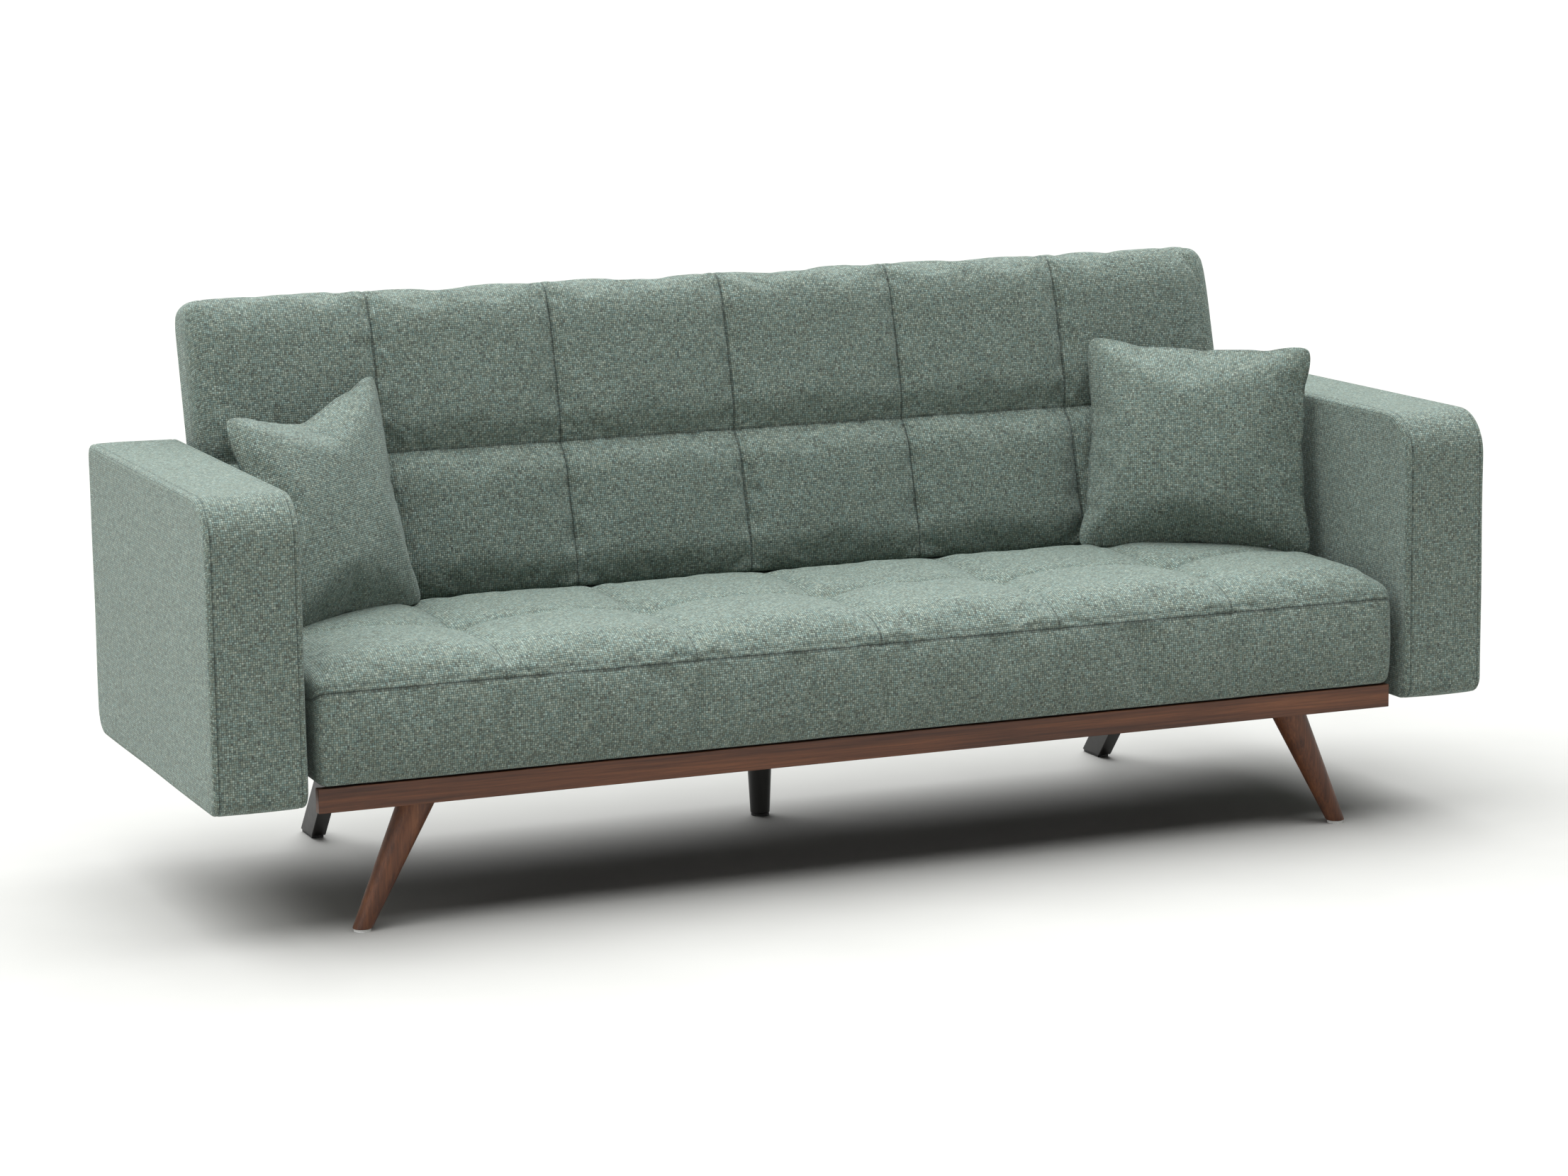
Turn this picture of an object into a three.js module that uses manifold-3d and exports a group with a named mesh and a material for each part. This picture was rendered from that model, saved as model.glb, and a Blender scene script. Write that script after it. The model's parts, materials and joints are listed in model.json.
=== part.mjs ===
// A three-seat futon sofa bed with a click-clack back, in millimetres.
// +Z is up, the front faces -Y, and the origin is at the middle of its footprint, on the floor.
// It is laid out from the front face of the arms (Y = 0) and centred at the end.
import * as THREE from "three";
import { mergeVertices } from "three/addons/utils/BufferGeometryUtils.js";
import Module from "manifold-3d";

const wasm = await Module();
wasm.setup();

// ---- Driving dimensions -------------------------------------------------
const overallWidth = 2120;
const gap = 0.3; // between pieces that touch

const armWidth = 143;
const armDepth = 703;
const armTop = 667;
const armBottom = 204;
const armWall = 20; // foam and fabric over the arm's frame
const armCorner = { frontTop: 68, rearTop: 18, rearBottom: 35, frontBottom: 25 };

const seatBottom = 230;
const seatTop = 408;
const seatCrown = 8; // how far the seat's middle stands above its rear edge
const seatFront = 8;
const seatBorderTop = 372; // the seam between the border and the top
const seatWall = 20; // foam and fabric round the seat's frame
const seatEndGap = 17; // between the seat and each arm
const seatToHingePad = 52; // depth of seat tucked under the back, ahead of the hinge

const backHeight = 505; // measured along the tilted back
const backThickness = 88; // from the seams' plane to the rear face
const backTilt = 14.5; // degrees from upright
const backEndGap = 9; // between the back and each arm
const lowerPuff = 22; // how far the lower row of panels stands forward
const upperPuff = 14;
const middleSeam = 239; // height of the seam between the rows, along the back
const backRecess = 36; // depth of the frame's recess, from the rear

const hingeY = 598;
const bullnose = 64; // radius of the seat's rear edge round the hinge
const noseClearance = 2; // between the bullnose and the back
const plateThickness = 3;
const plateGap = 0.5;
const plateInset = 14; // from the seat's end to the seat plate
const pinStub = 10; // how far the pin reaches into the seat's end
const bossRadius = 28;
const backPlateReach = 118; // from the back's lower corner up to the back plate's end
const backPlatePadding = 24; // padding left in front of each back plate
const pinRadius = 6;
const hingeBoreGap = 0.3;

const boardThickness = 25;
const boardHeight = 84;
const slatThickness = 7;
const slatWidth = 70;
const slatCount = 5;
const coverThickness = 2;
const rearWall = 12; // fabric and lining behind the seat's frame
const backWall = 46; // padding at each end of the back's frame
const backRailWidth = 55;
const rearPanel = 5; // the panel that closes the back's recess

const railThickness = 16;
const railHeight = 37;
const railEndGap = 19; // between the rail's ends and the arms
const railFront = 19;

const bearerWidth = 60;
const bearerHeight = 34;
const bearerOffset = 730; // from the middle to each outer bearer

const glideHeight = 4;
const frontLeg = { topX: 735, footX: 825, y: 62, topRadius: 29, footRadius: 15, plate: 78 };
const rearLeg = { x: 713, width: 24, depth: 63, behindSeat: 14, rake: 41.5 };
const centreLeg = { aheadOfRear: 141, topRadius: 25, footRadius: 16, plate: 66 };
const legPlateThickness = 4;

const armBase = 18;
const postDepth = 60;
const spacer = { front: 140, rear: 500, above: 14, height: 52 };

const pillowThickness = 120;
const pillowLift = 6; // over the seat's top plane, where the lower corners stand

// ---- Sizes that follow ----------------------------------------------------
const armInside = overallWidth / 2 - armWidth;
const seatHalf = armInside - seatEndGap;
const backHalf = armInside - backEndGap;
const railBottom = seatBottom - railHeight;
const bearerBottom = seatBottom - gap - bearerHeight;
const hingeZ = seatTop - seatCrown - bullnose;
const creaseY = hingeY - seatToHingePad;
const creaseZ = hingeZ + bullnose + noseClearance;
const seatNoseTop = hingeZ + bullnose;
const seatRear = hingeY + bullnose;
const tilt = THREE.MathUtils.degToRad(backTilt);

// The hinge's layers, from the seat's end outwards.
const seatPlateIn = seatHalf - plateInset;
const backPlateIn = seatPlateIn + plateThickness + plateGap;
const ringIn = backPlateIn + plateThickness + gap;
const pinIn = seatPlateIn - pinStub;
const pinOut = ringIn + plateThickness + 2;

// ---- Materials ------------------------------------------------------------
const finish = (color, roughness, metalness = 0) =>
  new THREE.MeshStandardMaterial({ color, roughness, metalness });
const fabric = finish(0x7c918a, 0.95);
const walnut = finish(0x553527, 0.45);
const blackPaint = finish(0x1c1a19, 0.5);
const timber = finish(0xc9a878, 0.8);
const steel = finish(0x8a8c8e, 0.35, 0.9);
const whitePlastic = finish(0xe8e8e6, 0.5);
const blackPlastic = finish(0x181818, 0.6);
const lining = finish(0x2b2b2b, 0.95);

// ---- Helpers --------------------------------------------------------------
const model = new THREE.Group();
const back = new THREE.Group();
model.add(back);

function add(name, geometry, material, parent = model) {
  const mesh = new THREE.Mesh(geometry, material);
  mesh.name = name;
  parent.add(mesh);
  return mesh;
}

// A box from its lowest to its highest corner.
function box(x0, x1, y0, y1, z0, z1) {
  const geometry = new THREE.BoxGeometry(x1 - x0, y1 - y0, z1 - z0);
  return geometry.translate((x0 + x1) / 2, (y0 + y1) / 2, (z0 + z1) / 2);
}

// A YZ outline (shape x is Y, shape y is Z) pushed along X from x0 to x1, with soft edges of `soft`.
function across(shape, x0, x1, soft = 0, curveSegments = 8) {
  const geometry = new THREE.ExtrudeGeometry(shape, {
    depth: x1 - x0 - 2 * soft,
    curveSegments,
    bevelEnabled: soft > 0,
    bevelThickness: soft,
    bevelSize: soft,
    bevelOffset: -soft,
    bevelSegments: 2,
  });
  geometry.translate(0, 0, x0 + soft);
  const turn = new THREE.Matrix4().makeBasis(
    new THREE.Vector3(0, 1, 0),
    new THREE.Vector3(0, 0, 1),
    new THREE.Vector3(1, 0, 0),
  );
  return geometry.applyMatrix4(turn);
}

function solid(geometry) {
  const plain = geometry.clone();
  plain.deleteAttribute("normal");
  plain.deleteAttribute("uv");
  const merged = mergeVertices(plain, 1e-3);
  return new wasm.Manifold(
    new wasm.Mesh({
      numProp: 3,
      vertProperties: new Float32Array(merged.attributes.position.array),
      triVerts: new Uint32Array(merged.index.array),
    }),
  );
}

function cut(geometry, ...tools) {
  let result = solid(geometry);
  for (const tool of tools) {
    result = result.subtract(solid(tool));
  }
  const mesh = result.getMesh();
  const made = new THREE.BufferGeometry();
  made.setAttribute("position", new THREE.BufferAttribute(new Float32Array(mesh.vertProperties), 3));
  made.setIndex(new THREE.BufferAttribute(new Uint32Array(mesh.triVerts), 1));
  const faceted = made.toNonIndexed();
  faceted.computeVertexNormals();
  return faceted;
}

// A rectangle in YZ with its own radius at each corner.
function roundedOutline(y0, y1, z0, z1, radius) {
  const quarter = Math.PI / 2;
  const { frontTop, rearTop, rearBottom, frontBottom } = radius;
  const shape = new THREE.Shape();
  shape.moveTo(y0 + frontBottom, z0);
  shape.lineTo(y1 - rearBottom, z0);
  shape.absarc(y1 - rearBottom, z0 + rearBottom, rearBottom, -quarter, 0);
  shape.lineTo(y1, z1 - rearTop);
  shape.absarc(y1 - rearTop, z1 - rearTop, rearTop, 0, quarter);
  shape.lineTo(y0 + frontTop, z1);
  shape.absarc(y0 + frontTop, z1 - frontTop, frontTop, quarter, 2 * quarter);
  shape.lineTo(y0, z0 + frontBottom);
  shape.absarc(y0 + frontBottom, z0 + frontBottom, frontBottom, 2 * quarter, 3 * quarter);
  return shape;
}

// A round, tapered leg with level ends whose foot stands off to one side.
function taperedLeg(topRadius, footRadius, height, lean) {
  const profile = [
    new THREE.Vector2(0, 0),
    new THREE.Vector2(footRadius, 0),
    new THREE.Vector2(topRadius, height),
    new THREE.Vector2(0, height),
  ];
  const leg = new THREE.LatheGeometry(profile, 24).rotateX(Math.PI / 2);
  const slant = new THREE.Matrix4().set(1, 0, -lean / height, lean, 0, 1, 0, 0, 0, 0, 1, 0, 0, 0, 0, 1);
  return leg.applyMatrix4(slant);
}

const sides = [
  { name: "left", sign: -1 },
  { name: "right", sign: 1 },
];

// The same piece on one side: x runs outwards from the middle.
function sideBox(sign, inner, outer, y0, y1, z0, z1) {
  const ends = [sign * inner, sign * outer].sort((a, b) => a - b);
  return box(ends[0], ends[1], y0, y1, z0, z1);
}

function sideAcross(sign, shape, inner, outer, soft = 0, curveSegments = 8) {
  const ends = [sign * inner, sign * outer].sort((a, b) => a - b);
  return across(shape, ends[0], ends[1], soft, curveSegments);
}

// ---- Seat -----------------------------------------------------------------
const cavityFront = seatFront + seatWall;
const cavityRear = seatRear - rearWall;
const cavityHalf = pinIn - 2 * gap - 5;
const slatTop = seatBottom + coverThickness + boardHeight + slatThickness + 4 * gap;

function seatOutline() {
  const shape = new THREE.Shape();
  const corner = 22;
  shape.moveTo(seatFront + corner, seatBottom + gap);
  shape.lineTo(seatRear - corner, seatBottom + gap);
  shape.quadraticCurveTo(seatRear, seatBottom + gap, seatRear, seatBottom + corner);
  shape.lineTo(seatRear, hingeZ);
  shape.absarc(hingeY, hingeZ, bullnose, 0, Math.PI / 2);
  shape.lineTo(creaseY - 28, seatNoseTop);
  shape.quadraticCurveTo(creaseY - 60, seatTop, creaseY - 100, seatTop);
  shape.lineTo(seatFront + 92, seatTop);
  shape.quadraticCurveTo(seatFront + 20, seatTop, seatFront + 4, seatBorderTop);
  shape.lineTo(seatFront, seatBottom + corner);
  shape.quadraticCurveTo(seatFront, seatBottom + gap, seatFront + corner, seatBottom + gap);
  return shape;
}

function seatCushion() {
  const body = across(seatOutline(), -seatHalf, seatHalf, 8);
  const below = seatBottom - 10;
  const recess = box(-cavityHalf, cavityHalf, cavityFront, cavityRear, below, slatTop);
  const notchFront = creaseY - 8;
  const notches = sides.map(({ sign }) =>
    sideBox(sign, seatPlateIn - gap, seatHalf + 50, notchFront, seatRear + 50, below, seatTop + 40),
  );
  const reach = 2 * pinRadius; // half the side of the square hole round each pin
  const pinHoles = sides.map(({ sign }) =>
    sideBox(sign, pinIn - gap, seatHalf, hingeY - reach, hingeY + reach, hingeZ - reach, hingeZ + reach),
  );
  return cut(body, recess, ...notches, ...pinHoles);
}

function seatFrame() {
  const bottom = seatBottom + coverThickness + 2 * gap;
  const top = bottom + boardHeight;
  const half = cavityHalf - gap;
  const front = cavityFront + gap;
  const rear = cavityRear - gap;
  const innerFront = front + boardThickness + gap;
  const innerRear = rear - boardThickness - gap;
  add("seat_front_board", box(-half, half, front, front + boardThickness, bottom, top), timber);
  add("seat_rear_board", box(-half, half, rear - boardThickness, rear, bottom, top), timber);
  for (const { name, sign } of sides) {
    const side = sideBox(sign, half - boardThickness, half, innerFront, innerRear, bottom, top);
    add(`seat_side_board_${name}`, side, timber);
    const middle = half / 3;
    const inner = middle - boardThickness / 2;
    const crossBoard = sideBox(sign, inner, inner + boardThickness, innerFront, innerRear, bottom, top);
    add(`seat_cross_board_${name}`, crossBoard, timber);
  }
  const pitch = (rear - front) / slatCount;
  for (let i = 0; i < slatCount; i += 1) {
    const middle = front + pitch * (i + 0.5);
    const slatFront = middle - slatWidth / 2;
    const slatBottom = top + gap;
    const slat = box(-half, half, slatFront, slatFront + slatWidth, slatBottom, slatBottom + slatThickness);
    add(`seat_slat_${i + 1}`, slat, timber);
  }
  const cover = box(-half, half, front, rear, seatBottom + gap, seatBottom + gap + coverThickness);
  add("seat_dust_cover", cover, lining);
}

add("seat_cushion", seatCushion(), fabric);
seatFrame();

// ---- Rail, bearers and legs -------------------------------------------------
const railHalf = armInside - railEndGap;
const bearerFront = railFront + railThickness + gap;
const bearerRear = seatRear - 26;
const railRear = railFront + railThickness;
add("front_rail", box(-railHalf, railHalf, railFront, railRear, railBottom, seatBottom), walnut);

function bearer(x) {
  const half = bearerWidth / 2;
  return box(x - half, x + half, bearerFront, bearerRear, bearerBottom, seatBottom - gap);
}

const plateTop = bearerBottom - gap;
const legTop = plateTop - legPlateThickness - gap;
const legBottom = glideHeight + gap;

function legPlate(x, y, size) {
  return box(x - size / 2, x + size / 2, y - size / 2, y + size / 2, plateTop - legPlateThickness, plateTop);
}

function pad(x, y, radius) {
  const disc = new THREE.CylinderGeometry(radius, radius, glideHeight, 24);
  return disc.rotateX(Math.PI / 2).translate(x, y, glideHeight / 2);
}

const rearFoot = seatRear + rearLeg.behindSeat;

function rearLegOutline() {
  const slope = Math.tan(THREE.MathUtils.degToRad(rearLeg.rake));
  const shape = new THREE.Shape();
  shape.moveTo(rearFoot - legBottom * slope, legBottom);
  shape.lineTo(rearFoot + rearLeg.depth - legBottom * slope, legBottom);
  shape.lineTo(rearFoot + rearLeg.depth - plateTop * slope, plateTop);
  shape.lineTo(rearFoot - plateTop * slope, plateTop);
  shape.closePath();
  return shape;
}

for (const { name, sign } of sides) {
  add(`bearer_${name}`, bearer(sign * bearerOffset), blackPaint);
  const height = legTop - legBottom;
  const lean = sign * (frontLeg.footX - frontLeg.topX);
  const leg = taperedLeg(frontLeg.topRadius, frontLeg.footRadius, height, lean);
  leg.translate(sign * frontLeg.topX, frontLeg.y, legBottom);
  add(`front_leg_${name}`, leg, walnut);
  const plateY = bearerFront + frontLeg.plate / 2;
  add(`front_leg_plate_${name}`, legPlate(sign * frontLeg.topX, plateY, frontLeg.plate), steel);
  const glide = pad(sign * frontLeg.footX, frontLeg.y, frontLeg.footRadius - 2);
  add(`front_glide_${name}`, glide, whitePlastic);
  const inner = rearLeg.x - rearLeg.width / 2;
  const outer = rearLeg.x + rearLeg.width / 2;
  add(`rear_leg_${name}`, sideAcross(sign, rearLegOutline(), inner, outer), blackPaint);
  const inset = 2; // from the bar's sides to its pad
  const padFront = rearFoot + inset;
  const padRear = rearFoot + rearLeg.depth - 3 * inset;
  const rearPad = sideBox(sign, inner + inset, outer - inset, padFront, padRear, 0, glideHeight);
  add(`rear_leg_pad_${name}`, rearPad, blackPlastic);
}
add("bearer_centre", bearer(0), blackPaint);
const centreY = seatRear - centreLeg.aheadOfRear;
const middleLeg = taperedLeg(centreLeg.topRadius, centreLeg.footRadius, legTop - legBottom, 0);
add("centre_leg", middleLeg.translate(0, centreY, legBottom), blackPaint);
add("centre_leg_plate", legPlate(0, centreY, centreLeg.plate), steel);
add("centre_leg_pad", pad(0, centreY, centreLeg.footRadius - 1), blackPlastic);

// ---- Arms -------------------------------------------------------------------
const armOutside = overallWidth / 2;
const armOutline = roundedOutline(0, armDepth, armBottom, armTop, armCorner);

for (const { name, sign } of sides) {
  const skin = sideAcross(sign, armOutline, armInside, armOutside, 10);
  const inner = armInside + armWall;
  const outer = armOutside - armWall;
  const front = armCorner.frontTop / 2 + armWall;
  const rear = armDepth - armCorner.rearBottom - armWall / 2;
  const top = armTop - armCorner.frontTop / 2 - armWall;
  const hollow = sideBox(sign, inner, outer, front, rear, armBottom - 10, top);
  add(`arm_${name}`, cut(skin, hollow), fabric);
  const boardIn = inner + gap;
  const boardOut = outer - gap;
  const baseBottom = armBottom + gap;
  const baseTop = baseBottom + armBase;
  const base = sideBox(sign, boardIn, boardOut, front + gap, rear - gap, baseBottom, baseTop);
  add(`arm_base_board_${name}`, base, timber);
  const posts = { front: front + gap, rear: rear - gap - postDepth };
  for (const [place, y] of Object.entries(posts)) {
    const post = sideBox(sign, boardIn, boardOut, y, y + postDepth, baseTop + gap, top - gap);
    add(`arm_${place}_post_${name}`, post, timber);
  }
  const low = seatBottom + spacer.above;
  const high = low + spacer.height;
  const block = sideBox(sign, seatHalf + gap, armInside - gap, spacer.front, spacer.rear, low, high);
  add(`arm_spacer_${name}`, block, blackPaint);
}

// ---- Back: laid out upright from its lower front corner, then tilted ----------------
// Shape x is the depth from the seams' plane, shape y is the height along the back.
const cornerDrop = Math.tan(tilt) * backThickness; // the lower face is level once the back is tilted

function backOutline() {
  const shape = new THREE.Shape();
  const top = backHeight;
  const rear = backThickness;
  shape.moveTo(0, 0);
  shape.lineTo(rear, cornerDrop);
  shape.lineTo(rear, top - 28);
  shape.quadraticCurveTo(rear, top - 3, rear - 26, top);
  shape.lineTo(26, top);
  shape.quadraticCurveTo(0, top - 2, -upperPuff + 3, top - 40);
  shape.quadraticCurveTo(-upperPuff - 3, middleSeam + 120, -upperPuff + 2, middleSeam + 36);
  shape.lineTo(-2, middleSeam);
  shape.lineTo(-lowerPuff + 4, middleSeam - 34);
  shape.quadraticCurveTo(-lowerPuff - 3, middleSeam / 2, -lowerPuff + 6, 40);
  shape.lineTo(0, 0);
  return shape;
}

const frameHalf = backHalf - backWall;
const frameBottom = cornerDrop + 20;
const frameTop = backHeight - 40;
const recessFront = backThickness - backRecess;
const coverFront = backThickness - rearPanel;

function backCushion() {
  const body = across(backOutline(), -backHalf, backHalf, 14);
  const behind = backThickness + 40;
  const recess = box(-frameHalf, frameHalf, recessFront, behind, frameBottom, frameTop);
  const pocketTop = backPlateReach + 10;
  const pockets = sides.map(({ sign }) =>
    sideBox(sign, backPlateIn - gap, backHalf + 50, backPlatePadding, behind, -30, pocketTop),
  );
  return cut(body, recess, ...pockets);
}

function backFrame() {
  const half = frameHalf - gap;
  const low = frameBottom + gap;
  const high = frameTop - gap;
  const front = recessFront + gap;
  const rear = coverFront - gap;
  const railLow = low + backRailWidth;
  const railHigh = high - backRailWidth;
  add("back_bottom_rail", box(-half, half, front, rear, low, railLow), timber, back);
  add("back_top_rail", box(-half, half, front, rear, railHigh, high), timber, back);
  for (const { name, sign } of sides) {
    const stile = sideBox(sign, half - backRailWidth, half, front, rear, railLow + gap, railHigh - gap);
    add(`back_stile_${name}`, stile, timber, back);
  }
  add("back_rear_cover", box(-half, half, coverFront, backThickness, low, high), fabric, back);
}

add("back_cushion", backCushion(), fabric, back);
backFrame();

// The hinge's centre, in the back's own upright layout.
const toHinge = new THREE.Vector2(hingeY - creaseY, hingeZ - creaseZ).rotateAround(new THREE.Vector2(), tilt);

function circle(y, z, radius) {
  return new THREE.Path().absarc(y, z, radius, 0, 2 * Math.PI, true);
}

// A plate round the hinge that runs up the back's end.
function backPlateOutline() {
  const armHalf = 15;
  const { x, y } = toHinge;
  const shape = new THREE.Shape();
  const side = Math.sqrt(bossRadius ** 2 - armHalf ** 2);
  const start = Math.atan2(side, -armHalf);
  const end = Math.atan2(side, armHalf);
  shape.absarc(x, y, bossRadius, start, end + 2 * Math.PI, false);
  shape.lineTo(x + armHalf, backPlateReach);
  shape.lineTo(x - armHalf, backPlateReach);
  shape.closePath();
  shape.holes.push(circle(x, y, pinRadius + hingeBoreGap));
  return shape;
}

// A plate round the hinge that runs down the seat's end.
function seatPlateOutline() {
  const bottom = seatBottom + 14;
  const shape = new THREE.Shape();
  shape.moveTo(hingeY - 46, bottom);
  shape.lineTo(hingeY + 46, bottom);
  shape.lineTo(hingeY + 46, bottom + 22);
  shape.lineTo(hingeY + bossRadius, hingeZ);
  shape.absarc(hingeY, hingeZ, bossRadius, 0, Math.PI, false);
  shape.lineTo(hingeY - 46, bottom + 22);
  shape.closePath();
  shape.holes.push(circle(hingeY, hingeZ, pinRadius + hingeBoreGap));
  return shape;
}

// A notched ring that the leaf spring clicks into.
function ringOutline() {
  const { x, y } = toHinge;
  const teeth = 12;
  const outer = bossRadius - 6;
  const notch = 3;
  const shape = new THREE.Shape();
  for (let i = 0; i < teeth * 2; i += 1) {
    const angle = (i * Math.PI) / teeth;
    const radius = i % 2 ? outer - notch : outer;
    const py = x + radius * Math.cos(angle);
    const pz = y + radius * Math.sin(angle);
    if (i === 0) {
      shape.moveTo(py, pz);
    } else {
      shape.lineTo(py, pz);
    }
  }
  shape.closePath();
  shape.holes.push(circle(x, y, pinRadius + hingeBoreGap));
  return shape;
}

// A bent strip screwed below the ring: its tip sits just under the notches.
function leafOutline() {
  const tip = hingeZ - bossRadius + 4.5;
  const strip = 2;
  const foot = hingeZ - bossRadius - 10;
  const shape = new THREE.Shape();
  shape.moveTo(hingeY - 34, foot);
  shape.lineTo(hingeY - 12, foot);
  shape.lineTo(hingeY, tip - strip);
  shape.lineTo(hingeY + 12, foot);
  shape.lineTo(hingeY + 34, foot);
  shape.lineTo(hingeY + 34, foot + strip);
  shape.lineTo(hingeY + 13, foot + strip);
  shape.lineTo(hingeY, tip);
  shape.lineTo(hingeY - 13, foot + strip);
  shape.lineTo(hingeY - 34, foot + strip);
  shape.closePath();
  return shape;
}

for (const { name, sign } of sides) {
  const seatPlateOut = seatPlateIn + plateThickness;
  add(`hinge_seat_plate_${name}`, sideAcross(sign, seatPlateOutline(), seatPlateIn, seatPlateOut), steel);
  const backPlate = sideAcross(sign, backPlateOutline(), backPlateIn, backPlateIn + plateThickness);
  add(`hinge_back_plate_${name}`, backPlate, steel, back);
  const ringOut = ringIn + plateThickness;
  add(`hinge_ring_${name}`, sideAcross(sign, ringOutline(), ringIn, ringOut), steel, back);
  add(`hinge_leaf_spring_${name}`, sideAcross(sign, leafOutline(), ringIn, ringOut), steel);
  const middle = (sign * (pinIn + pinOut)) / 2;
  const pin = new THREE.CylinderGeometry(pinRadius, pinRadius, pinOut - pinIn, 24).rotateZ(Math.PI / 2);
  add(`hinge_pin_${name}`, pin.translate(middle, hingeY, hingeZ), steel);
}
back.rotation.x = -tilt;
back.position.set(0, creaseY, creaseZ);

// ---- Throw pillows ------------------------------------------------------------
// Each is a square pillow that leans in a corner between the back and an arm. A corner is given by its
// distance in from the arm, its distance ahead of the crease (negative: above it, behind the crease)
// and its height over the seat.
const pillows = {
  left: {
    armLow: [27, 278, 0],
    backLow: [323, 76, 0],
    armHigh: [11, 118, 310],
    backHigh: [299, -60, 340],
  },
  right: {
    armLow: [35, 284, 0],
    backLow: [339, 58, 0],
    armHigh: [15, 246, 330],
    backHigh: [269, -48, 330],
  },
};

function pillow(sign, corners) {
  const steps = 12;
  const place = ([inset, ahead, up]) =>
    new THREE.Vector3(sign * (armInside - inset), creaseY - ahead, seatTop + pillowLift + up);
  const low = [place(corners.armLow), place(corners.backLow)];
  const high = [place(corners.armHigh), place(corners.backHigh)];
  if (sign > 0) {
    low.reverse();
    high.reverse();
  }
  const [ll, lr, ul, ur] = [...low, ...high];
  const sideways = lr.clone().add(ur).sub(ll).sub(ul);
  const upward = ul.clone().add(ur).sub(ll).sub(lr);
  const forward = sideways.cross(upward).normalize();
  const positions = [];
  const index = [];
  for (const face of [1, -1]) {
    for (let j = 0; j <= steps; j += 1) {
      for (let i = 0; i <= steps; i += 1) {
        const u = i / steps;
        const v = j / steps;
        const p = ll.clone().lerp(lr, u).lerp(ul.clone().lerp(ur, u), v);
        const fullness = (16 * u * (1 - u) * v * (1 - v)) ** 0.55;
        p.addScaledVector(forward, (face * fullness * pillowThickness) / 2);
        positions.push(p.x, p.y, p.z);
      }
    }
  }
  const row = steps + 1;
  for (let j = 0; j < steps; j += 1) {
    for (let i = 0; i < steps; i += 1) {
      const a = j * row + i;
      index.push(a, a + 1, a + row + 1, a, a + row + 1, a + row);
      const b = a + row * row;
      index.push(b, b + row + 1, b + 1, b, b + row, b + row + 1);
    }
  }
  const geometry = new THREE.BufferGeometry();
  geometry.setAttribute("position", new THREE.Float32BufferAttribute(positions, 3));
  geometry.setIndex(index);
  return mergeVertices(geometry, 1e-3).toNonIndexed();
}

for (const { name, sign } of sides) {
  add(`pillow_${name}`, pillow(sign, pillows[name]), fabric);
}

// The origin goes to the middle of the footprint.
const bounds = new THREE.Box3().setFromObject(model, true);
const middle = bounds.getCenter(new THREE.Vector3());
model.position.set(-middle.x, -middle.y, -bounds.min.z);

const sofa = new THREE.Group();
sofa.add(model);
export default sofa;
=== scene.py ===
# %% [markdown]
# # A click-clack sofa bed, dressed in woven cloth
# The imported frame holds every hard part, the hinges and plain solids for the soft parts. This lesson
# builds what the eye sees round that frame: padded seat and back, arms, pillows, walnut and lacquer.
# The frame could be modelled again here, but loading it keeps every joint and size as it is.

# %% Load the frame
import json
import math
import bmesh
import bpy
import numpy as np
from mathutils import Matrix, Vector


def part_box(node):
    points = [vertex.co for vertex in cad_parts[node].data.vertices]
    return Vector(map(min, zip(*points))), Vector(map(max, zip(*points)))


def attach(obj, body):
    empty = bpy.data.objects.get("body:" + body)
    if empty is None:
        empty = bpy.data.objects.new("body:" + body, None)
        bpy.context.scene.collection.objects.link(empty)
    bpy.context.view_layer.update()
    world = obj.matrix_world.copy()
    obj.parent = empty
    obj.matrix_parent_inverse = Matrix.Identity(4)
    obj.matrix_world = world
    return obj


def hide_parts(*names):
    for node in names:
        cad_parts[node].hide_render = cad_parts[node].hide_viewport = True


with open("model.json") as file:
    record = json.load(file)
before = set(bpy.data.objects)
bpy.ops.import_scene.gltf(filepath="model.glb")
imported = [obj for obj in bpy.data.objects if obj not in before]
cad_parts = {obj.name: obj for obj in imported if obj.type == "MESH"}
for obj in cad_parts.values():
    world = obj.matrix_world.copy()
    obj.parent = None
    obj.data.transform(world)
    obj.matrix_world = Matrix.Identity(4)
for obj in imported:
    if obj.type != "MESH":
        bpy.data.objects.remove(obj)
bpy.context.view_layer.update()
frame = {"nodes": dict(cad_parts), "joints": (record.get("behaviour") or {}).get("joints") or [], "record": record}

# %% [markdown]
# A sofa maker cuts foam and cloth to fit the frame that stands on the bench. In the same way, every
# place comes from the frame's own boxes and the hinge from its joint. Typed numbers would be quicker to
# write, but read ones follow the frame if it is made again.

# %% Places read from the frame
MM = 0.001
seat_low, seat_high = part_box("seat_cushion")
back_low, back_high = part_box("back_cushion")
arm_low, arm_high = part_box("arm_right")
front = arm_low.y
seat_half = seat_high.x
back_half = back_high.x
arm_inside = arm_low.x
recline = next(j for j in frame["joints"] if j["name"] == "back_recline")
hinge = Vector(recline["pos_m"])
bullnose = seat_high.y - hinge.y
crease_z = back_low.z
panel_width = seat_half / 3 + 3 * MM
column_seams = [i * panel_width for i in (-2, -1, 0, 1, 2)]
print("hinge", hinge, "bullnose", round(bullnose, 4), "columns", [round(c, 3) for c in column_seams])

# %% [markdown]
# A sofa is shown from ahead and a little to one side, from standing height, with a long lens that keeps
# its lines straight. A camera could track a target, but three plain turns (turn, tip, roll) set it
# exactly and leave nothing live in the scene.

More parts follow.
